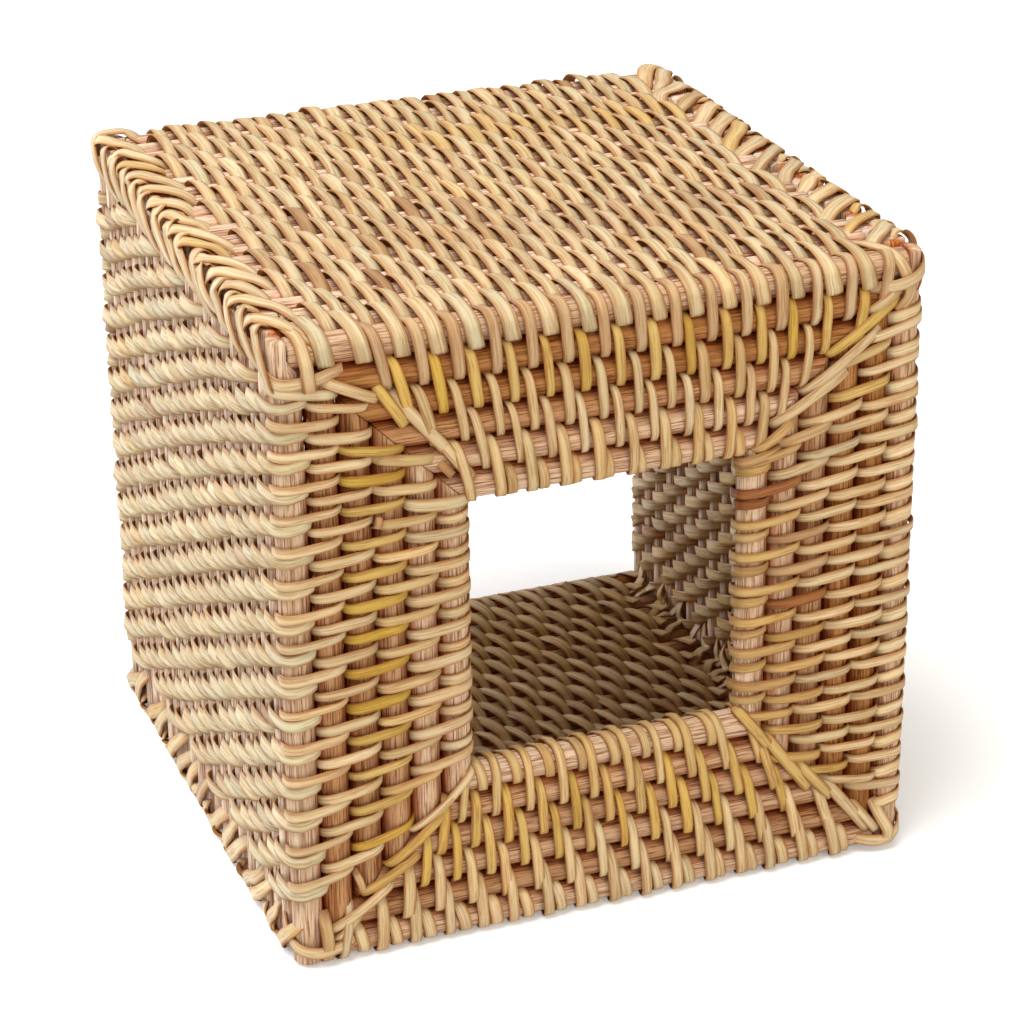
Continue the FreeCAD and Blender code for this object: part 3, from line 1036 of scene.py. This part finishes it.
@dataclass
class FaceLashings(SubAssembly):
    """Rows of stitches on the window face, and the wraps round the rods at the window."""

    seed: int = 500
    window_seed: int = 520
    fan: float = 4.5
    pause: float = 0.6
    slack: Pair = (0.0, 0.6)
    level_width: float = 2.5
    upright_width: float = 2.55
    width_spread: float = 0.14
    window_width: float = 2.4
    window_margins: Pair = (4.5, 3.5)
    late_rows: Tuple[int, ...] = (3, 4)

    def build(self) -> None:
        """Build and dress each row."""
        for row in range(1, SIZES.face_course_count):
            batch = StripBatch(self.seed + row)
            for side in Side:
                self._row(side, row, batch.rng).add_to(batch)
            self.settle(batch, Slot.STRIP, f"face_lashing_{row}")
        batch = StripBatch(self.window_seed)
        for side in Side:
            wraps = self._row(side, SIZES.face_course_count, batch.rng)
            wraps.winding = replace(wraps.winding, half=WRAP, open_start=True, fan=0.0, width=self.window_width)
            wraps.add_to(batch)
        self.settle(batch, Slot.STRIP, "window_binding")

    def _row(self, side: Side, row: int, rng: np.random.Generator) -> Row:
        """One row along one side of the face.

        Args:
            side: Side of the face.
            row: Number of the row, from the edge.
            rng: Source of its irregularities.

        Returns:
            The row.
        """
        spacing = SPACINGS[side]
        outer = SIZES.half_span - (row - 1) * SIZES.pitch
        start = spacing.start + spacing.lead + sum(spacing.gaps[:row - 1])
        width = self.upright_width if side in (Side.LEFT, Side.RIGHT) else self.level_width
        inmost = row >= SIZES.face_course_count - 1
        margins = self.window_margins if inmost else spacing.margins
        last = outer - margins[1] + (spacing.late if row in self.late_rows else 0.0)
        winding = Winding(margins[0] - outer, last, start, spacing.step - (row - 1) * spacing.tighten,
                          pause=self.pause, width=rng.normal(width, self.width_spread), slack=self.slack,
                          fan=self.fan, squeeze=spacing.squeeze, open_start=row == 1, open_end=inmost)
        stain = RowStain(Family.FACE, side, min(row, SIZES.face_course_count - 1), rng)
        return Row(Family.FACE, side, outer, winding, stain)


@dataclass
class RimBinding(WallLashings):
    """Wraps round the rods at the open rim, between the stitches of the last row."""

    seed: int = 700
    between: float = 0.55

    def build(self) -> None:
        """Build and dress the wraps."""
        batch = StripBatch(self.seed)
        row = SIZES.course_count - 1
        for side in Side:
            last_row = self.winding(side, row, batch.rng)
            winding = replace(last_row, start=last_row.start + self.between * last_row.step, half=WRAP, open_end=True)
            stain = RowStain(Family.WALL, side, row, batch.rng)
            Row(Family.WALL, side, SIZES.course_y(SIZES.course_count), winding, stain).add_to(batch)
        self.settle(batch, Slot.STRIP, "rim_binding")


class Corner(Enum):
    """Edges that run from the window face to the rim, with their place to the right and up."""

    TOP_LEFT = (-1, 1)
    TOP_RIGHT = (1, 1)
    BOTTOM_RIGHT = (1, -1)
    BOTTOM_LEFT = (-1, -1)


@dataclass(frozen=True)
class Tie:
    """A strap at a front corner, as control points and skin directions."""

    points: Tuple[Point, ...]
    skin: Tuple[Point, ...]
    stain: Stain = Stain(0.08, 0.03)


# Skin directions of ties that come along the right or left wall, over the top or from under the cover.
RIGHT_SKIN: Tuple[Point, ...] = ((1.0, 0.0, 0.0), (1.0, 0.0, 0.0), (0.8, -0.7, 0.0), (0.1, -1.0, 0.0),
                                 (0.0, -1.0, 0.0), (-0.3, -1.0, 0.0))
LEFT_SKIN: Tuple[Point, ...] = tuple((-x, y, z) for x, y, z in RIGHT_SKIN)
OVER_SKIN: Tuple[Point, ...] = ((0.0, 0.1, 1.0), (0.0, 0.0, 1.0), (0.0, -0.7, 0.8), (0.0, -1.0, 0.1),
                                (0.0, -1.0, 0.0), (0.0, -1.0, -0.2))
UNDER_SKIN: Tuple[Point, ...] = tuple((x, y, -z) for x, y, z in OVER_SKIN[::-1])
CORNER_TIES: Dict[Corner, Tuple[Tie, ...]] = {
    Corner.TOP_LEFT: (
        Tie(((-72.6, -61.0, 141.5), (-73.6, -66.0, 140.0), (-73.0, -72.0, 138.5), (-70.0, -73.7, 138.0),
             (-64.0, -73.8, 138.6), (-58.5, -72.0, 139.6)), LEFT_SKIN),
        Tie(((-69.6, -60.0, 145.4), (-68.6, -66.0, 147.2), (-67.6, -71.6, 146.9), (-66.9, -74.4, 143.0),
             (-66.5, -74.9, 139.5), (-66.2, -74.9, 136.4)), (*OVER_SKIN[:-1], OVER_SKIN[-2])),
    ),
    Corner.TOP_RIGHT: (
        Tie(((60.0, -60.0, 145.6), (62.5, -66.0, 147.2), (66.3, -72.0, 146.4), (68.6, -74.0, 142.5),
             (69.4, -74.4, 138.0), (67.6, -73.0, 134.2)), OVER_SKIN),
        Tie(((73.3, -63.0, 144.0), (73.8, -68.0, 144.6), (73.2, -72.6, 143.6), (70.0, -75.0, 141.6),
             (65.5, -74.2, 140.2), (61.0, -72.0, 139.8)), RIGHT_SKIN),
    ),
    Corner.BOTTOM_LEFT: (
        Tie(((-73.0, -63.0, 8.5), (-73.7, -68.0, 6.2), (-72.8, -72.6, 4.4), (-68.5, -74.3, 3.4),
             (-63.5, -73.9, 4.0), (-58.5, -72.0, 5.4)), LEFT_SKIN),
        Tie(((-67.2, -71.6, 12.5), (-67.0, -73.9, 9.0), (-66.8, -74.5, 4.5), (-66.6, -72.6, 0.6),
             (-66.4, -68.0, 0.2), (-66.2, -63.0, 1.2)), UNDER_SKIN, Stain(0.2, 0.2)),
    ),
    Corner.BOTTOM_RIGHT: (
        Tie(((66.2, -72.0, 12.6), (67.6, -74.0, 9.0), (69.6, -74.9, 4.6), (69.0, -72.8, 0.6),
             (67.6, -68.0, 0.2), (66.5, -63.0, 1.2)), UNDER_SKIN),
        Tie(((73.2, -63.0, 7.5), (73.7, -68.0, 6.0), (73.0, -72.6, 4.6), (69.8, -74.4, 2.6),
             (65.6, -74.0, 2.6), (61.0, -72.2, 3.6)), RIGHT_SKIN),
    ),
}


@dataclass
class EdgeBindings(SubAssembly):
    """Straps that cross over the rod ends along the four edges, and the ties at the front corners.

    A strap comes up one wall towards the rim, bends over the edge and tucks in under the strap that comes up
    the other wall. Control points are measured inwards from the edge, along the strap's own wall and along
    the other one, and along Y. Pairs are a mean and a spread.
    """

    seed: int = 800
    count: int = 15
    front_gap: float = 5.0
    strap: Tuple[Point, ...] = ((10.4, 3.4, -9.0), (9.4, 1.0, -8.0), (7.2, -0.4, -5.6), (4.2, -0.9, -2.2),
                                (1.5, -0.75, 0.8), (0.0, 0.0, 2.3), (-0.3, 1.6, 3.1), (0.5, 3.2, 3.4),
                                (2.2, 4.2, 3.4))
    skin: Tuple[Point, ...] = ((0.8, -0.6, 0.0), (0.35, -1.0, -0.1), (0.1, -1.0, 0.0), (-0.1, -1.0, 0.0),
                               (-0.3, -1.0, 0.1), (-0.7, -0.7, 0.1), (-1.0, -0.3, 0.0), (-1.0, 0.3, 0.0),
                               (-0.7, 0.7, 0.0))
    strap_width: Pair = (3.9, 0.4)
    strap_reach: Pair = (1.0, 0.12)
    strap_run: Pair = (1.0, 0.25)
    strap_shake: float = 0.22
    strap_shares: Point = (1.0, 0.6, 1.6)
    strap_drift: float = 1.0
    front_reach: float = 1.0
    rim_reach: float = 1.5
    floor_gap: float = 0.55
    inside: Tuple[Point, ...] = ((13.0, 5.8, -2.4), (10.8, 7.4, -1.6), (8.6, 7.9, -0.6), (7.8, 8.4, 0.4),
                                 (7.5, 10.4, 1.5), (5.8, 12.8, 2.4))
    inside_skin: Tuple[Point, ...] = ((-0.3, 1.0, 0.0), (0.2, 1.0, 0.0), (0.5, 0.9, 0.0), (0.9, 0.5, 0.0),
                                      (1.0, 0.2, 0.0), (1.0, -0.3, 0.0))
    inside_width: Pair = (2.7, 0.3)
    inside_run: Pair = (1.0, 0.6)
    inside_shake: float = 0.35
    inside_shares: Point = (1.0, 1.0, 1.5)
    inside_drift: float = 1.2
    golden_share: float = 0.1
    golden: float = 0.5
    gold: Pair = (0.06, 0.1)
    brown: Pair = (0.04, 0.08)
    tone: Pair = (1.03, 0.06)
    straw: float = 0.5
    tie_samples: int = 8

    def build(self) -> None:
        """Build and dress the four edges."""
        first, last = SIZES.course_y(1), SIZES.course_y(SIZES.course_count)
        depths, lag = np.linspace(first + self.front_gap, last, self.count, retstep=True)
        for number, corner in enumerate(Corner):
            batch = StripBatch(self.seed + number)
            for depth in depths:
                self._strap(batch, corner, depth, False)
                self._strap(batch, corner, depth + 0.5 * lag, True)
            for course in range(2, SIZES.course_count):
                self._inside_end(batch, corner, SIZES.course_y(course))
            for tie in CORNER_TIES[corner]:
                batch.add_strap(tie.points, tie.skin, tie.stain, samples=self.tie_samples)
            self.settle(batch, Slot.STRIP, f"edge_binding_{corner.name.lower()}")

    def _strap(self, batch: StripBatch, corner: Corner, depth: float, level: bool) -> None:
        """Add one strap over an edge.

        Args:
            batch: Batch of strips.
            corner: Edge.
            depth: Place along Y.
            level: Whether it comes along the top or bottom wall and not up a side wall.
        """
        rng = batch.rng
        points = np.asarray(self.strap) * (rng.normal(*self.strap_reach), 1.0, rng.normal(*self.strap_run))
        points = points + rng.normal(0, self.strap_shake, points.shape) * self.strap_shares
        points[:, 2] += depth + rng.normal(0, self.strap_drift)
        points[:, 2] = np.clip(points[:, 2], SIZES.course_y(1) - self.front_reach,
                               SIZES.course_y(SIZES.course_count) + self.rim_reach)
        order = (0, 1, 2) if level else (1, 0, 2)
        inset = points[:, order]
        if corner.value[1] < 0:
            inset[:, 1] = np.maximum(inset[:, 1], self.floor_gap)
        self._lay(batch, corner, inset, np.asarray(self.skin)[:, order], rng.normal(*self.strap_width))

    def _inside_end(self, batch: StripBatch, corner: Corner, depth: float) -> None:
        """Add one strip end that is drawn across the corner on the inside.

        Args:
            batch: Batch of strips.
            corner: Edge.
            depth: Place along Y.
        """
        rng = batch.rng
        points = np.asarray(self.inside)
        points = points + rng.normal(0, self.inside_shake, points.shape) * self.inside_shares
        points[:, 2] = points[:, 2] * rng.normal(*self.inside_run) + depth + rng.normal(0, self.inside_drift)
        order = (0, 1, 2) if rng.random() < 0.5 else (1, 0, 2)
        skin = np.asarray(self.inside_skin)[:, order]
        self._lay(batch, corner, points[:, order], skin, rng.normal(*self.inside_width))

    def _lay(self, batch: StripBatch, corner: Corner, inset: np.ndarray, skin: np.ndarray, width: float) -> None:
        """Lay a strap at an edge.

        Args:
            batch: Batch of strips.
            corner: Edge.
            inset: Control points, measured inwards from the edge, and along Y.
            skin: Direction of the skin side at each of them, measured likewise.
            width: Width of the strap.
        """
        rng = batch.rng
        sign_x, sign_z = corner.value
        edge_x, edge_z = sign_x * SIZES.half_outside, SIZES.mid_height + sign_z * SIZES.half_outside
        path = np.stack([edge_x - sign_x * inset[:, 0], inset[:, 2], edge_z - sign_z * inset[:, 1]], -1)
        outward = np.stack([-sign_x * skin[:, 0], skin[:, 2], -sign_z * skin[:, 1]], -1)
        gold = max(rng.normal(*self.gold), 0.0) if rng.random() > self.golden_share else self.golden
        stain = Stain(gold, max(rng.normal(*self.brown), 0.0), rng.normal(*self.tone), self.straw)
        batch.add_strap(path, outward, stain, width)


@dataclass(frozen=True)
class MitreStrap:
    """A strap along a diagonal of the window face, from its outer to its inner end."""

    outer: Tuple[float, float]
    inner: Tuple[float, float]
    stain: Stain = Stain(0.08, 0.04)
    width: float = 2.6


@dataclass
class MitreStraps(SubAssembly):
    """Straps along the four diagonals of the window face, measured from the face's top left corner.

    A strap bends off the face near each end and tucks in there. Every other strap stands a step prouder.
    """

    seed: int = 900
    proud: float = 0.35
    proud_step: float = 0.25
    bend: float = 0.4
    bend_depth: float = 0.5
    tuck: float = 0.6
    tuck_depth: float = 2.6
    lean: Tuple[float, ...] = (-0.7, -0.25, 0.0, 0.0, 0.25, 0.7)
    straps: Tuple[MitreStrap, ...] = (
        MitreStrap((10.6, 9.4), (22.2, 15.0)),
        MitreStrap((22.2, 12.6), (28.0, 21.8), Stain(0.75)),
        MitreStrap((25.4, 14.6), (37.0, 28.8), width=2.9),
        MitreStrap((35.2, 31.4), (38.2, 34.8), Stain(0.2, 0.6), 2.0),
        MitreStrap((36.0, 27.4), (42.4, 36.0), Stain(0.15, 0.1)),
        MitreStrap((21.6, 41.2), (20.9, 44.0), Stain(0.1, 0.6), 1.8),
        MitreStrap((14.2, 126.4), (15.4, 130.6), Stain(0.2, 0.4), 1.8),
        MitreStrap((141.6, 7.0), (133.8, 12.4), Stain(0.1, 0.1)),
        MitreStrap((141.0, 9.6), (125.0, 20.6), Stain(0.8)),
        MitreStrap((136.6, 16.2), (119.2, 28.6)),
        MitreStrap((129.0, 25.0), (112.0, 35.0), width=2.9),
        MitreStrap((116.6, 34.6), (107.4, 40.8), Stain(0.5, 0.25)),
        MitreStrap((114.0, 41.0), (104.6, 43.2), Stain(0.4, 0.4)),
        MitreStrap((27.2, 117.8), (39.0, 109.0), width=1.9),
        MitreStrap((31.4, 115.8), (41.2, 106.2), width=2.1),
        MitreStrap((21.6, 125.4), (34.8, 114.6), Stain(0.75, 0.15)),
        MitreStrap((15.6, 131.2), (28.6, 124.0), Stain(0.7, 0.15)),
        MitreStrap((7.8, 139.0), (22.0, 130.2)),
        MitreStrap((8.6, 141.8), (14.6, 136.4), width=2.0),
        MitreStrap((113.0, 114.8), (105.6, 104.8), Stain(0.7, 0.1)),
        MitreStrap((123.0, 127.4), (112.0, 112.2), Stain(0.65, 0.05), 2.9),
        MitreStrap((129.0, 131.0), (119.6, 119.8), Stain(0.6)),
        MitreStrap((138.6, 141.4), (127.0, 126.4), width=2.9),
        MitreStrap((141.0, 142.6), (134.6, 134.0), width=2.2),
    )

    def build(self) -> None:
        """Build and dress the straps."""
        batch = StripBatch(self.seed)
        surface = SIZES.front - SIZES.rod_radius
        for number, strap in enumerate(self.straps):
            outer, inner = (np.array([across - SIZES.half_outside, 2 * SIZES.mid_height - down])
                            for across, down in (strap.outer, strap.inner))
            run, whole = unit(inner - outer), inner - outer
            proud = surface - self.proud - self.proud_step * (number % 2)
            bent, tucked = surface + self.bend_depth, surface + self.tuck_depth
            shape = ((outer - self.tuck * run, tucked), (outer + self.bend * run, bent), (outer + 0.3 * whole, proud),
                     (outer + 0.7 * whole, proud), (inner - self.bend * run, bent), (inner + self.tuck * run, tucked))
            points = [(place[0], depth, place[1]) for place, depth in shape]
            skin = [(run[0] * part, -1.0, run[1] * part) for part in self.lean]
            batch.add_strap(points, skin, strap.stain, strap.width)
        self.settle(batch, Slot.STRIP, "mitre_straps")


@dataclass(frozen=True)
class FloorFinish:
    """Plain white paper under the cover, white to the camera and shaded by the cover."""

    colour: Colour = (0.86, 0.86, 0.86)
    fleck: Colour = (0.8, 0.8, 0.8)
    fleck_share: float = 0.04
    glow: float = 0.3

    def material(self) -> bpy.types.Material:
        """Make the material.

        Returns:
            The material.
        """
        material = bpy.data.materials.new("white_paper")
        sheet = NodeSheet.of(material)
        noise = sheet.add("ShaderNodeTexNoise", {"Scale": 900.0, "Detail": 2.0})
        flecks = sheet.math("MULTIPLY", noise.outputs["Fac"], self.fleck_share)
        colour = sheet.mix("MIX", flecks, self.colour, self.fleck)
        paper = sheet.add("ShaderNodeBsdfPrincipled", {"Base Color": colour, "Roughness": 0.9,
                                                       "Specular IOR Level": 0.1})
        light = sheet.add("ShaderNodeLightPath")
        strength = sheet.math("MULTIPLY", light.outputs["Is Camera Ray"], self.glow)
        glow = sheet.add("ShaderNodeEmission", {"Strength": strength})
        both = sheet.add("ShaderNodeAddShader", {0: paper.outputs["BSDF"], 1: glow.outputs["Emission"]})
        sheet.add("ShaderNodeOutputMaterial", {"Surface": both.outputs["Shader"]})
        return material


@dataclass(frozen=True)
class SoftLamp:
    """A square soft box that looks at the cover."""

    name: str
    place: Point
    size: float
    power: float
    colour: Colour = (1.0, 1.0, 1.0)
    aim: Point = (0.0, 0.0, 0.07)

    def hang(self) -> None:
        """Make the lamp."""
        data = bpy.data.lights.new(self.name, "AREA")
        data.size, data.energy, data.color = self.size, self.power, self.colour
        lamp = bpy.data.objects.new(self.name, data)
        lamp.location = self.place
        lamp.rotation_euler = (Vector(self.aim) - lamp.location).to_track_quat("-Z", "Y").to_euler()
        bpy.context.scene.collection.objects.link(lamp)


@dataclass
class Studio:
    """Floor, light and camera."""

    azimuth: float = -20.47
    elevation: float = 24.65
    roll: float = -0.67
    distance: float = 0.7582
    target: Point = (0.0051, 0.0, 0.0656)
    focal_pixels: float = 3178.0
    image_pixels: float = 1024.0
    sensor: float = 36.0
    nearest: float = 0.05
    floor_half: float = 6.0
    floor_height: float = -0.0007
    ambient: float = 0.35
    lamps: Tuple[SoftLamp, ...] = (
        SoftLamp("key_lamp", (-0.58, -0.3, 1.72), 1.1, 35.0),
        SoftLamp("front_lamp", (0.4, -1.7, 0.9), 1.2, 10.6, (1.0, 0.88, 0.62)),
        SoftLamp("rim_lamp", (-0.9, 1.4, 0.6), 1.0, 15.0),
    )

    def build(self) -> None:
        """Set the stage."""
        self._floor()
        self._world()
        self._camera()
        for lamp in self.lamps:
            lamp.hang()

    def _floor(self) -> None:
        """Lay the floor."""
        mesh = bpy.data.meshes.new("floor")
        half = self.floor_half
        mesh.from_pydata([(-half, -half, 0), (half, -half, 0), (half, half, 0), (-half, half, 0)], [], [(0, 1, 2, 3)])
        mesh.materials.append(FloorFinish().material())
        floor = bpy.data.objects.new("floor", mesh)
        floor.location.z = self.floor_height
        bpy.context.scene.collection.objects.link(floor)

    def _world(self) -> None:
        """Fill the room with even light, white where the camera sees it."""
        world = bpy.data.worlds.new("studio_room")
        sheet = NodeSheet.of(world)
        path = sheet.add("ShaderNodeLightPath")
        strength = sheet.remap(path.outputs["Is Camera Ray"], (0.0, 1.0), (self.ambient, 1.0))
        back = sheet.add("ShaderNodeBackground", {"Color": (1.0, 1.0, 1.0, 1.0), "Strength": strength})
        sheet.add("ShaderNodeOutputWorld", {"Surface": back.outputs["Background"]})
        bpy.context.scene.world = world

    def _camera(self) -> None:
        """Place the camera at the photograph's viewing angle."""
        azimuth, elevation, roll = (math.radians(value) for value in (self.azimuth, self.elevation, self.roll))
        back = Vector((math.sin(azimuth) * math.cos(elevation), -math.cos(azimuth) * math.cos(elevation),
                       math.sin(elevation)))
        level = Vector((0, 0, 1)).cross(back).normalized()
        upward = back.cross(level)
        right = math.cos(roll) * level + math.sin(roll) * upward
        above = -math.sin(roll) * level + math.cos(roll) * upward
        data = bpy.data.cameras.new("camera")
        data.sensor_width, data.clip_start = self.sensor, self.nearest
        data.lens = self.sensor * self.focal_pixels / self.image_pixels
        camera = bpy.data.objects.new("camera", data)
        place = Matrix((right, above, back)).transposed().to_4x4()
        place.translation = Vector(self.target) + back * self.distance
        camera.matrix_world = place
        bpy.context.scene.collection.objects.link(camera)
        bpy.context.scene.camera = camera


def main() -> None:
    """Load the frame, dress the cover and set the stage."""
    logging.basicConfig(level=logging.INFO, format="%(name)s: %(message)s")
    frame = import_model()
    LOG.info("%d CAD nodes", len(frame["nodes"]))
    groups = PlantGroups()
    rod, cane = (finish.material(groups) for finish in (ROD_FINISH, CANE_FINISH))
    Courses(rod).build()
    for lashing in (WallLashings, FaceLashings, RimBinding, EdgeBindings, MitreStraps):
        lashing(cane).build()
    Studio().build()
    bpy.context.scene.view_settings.view_transform = "Standard"
    bpy.context.view_layer.update()


if __name__ == "__main__":
    main()
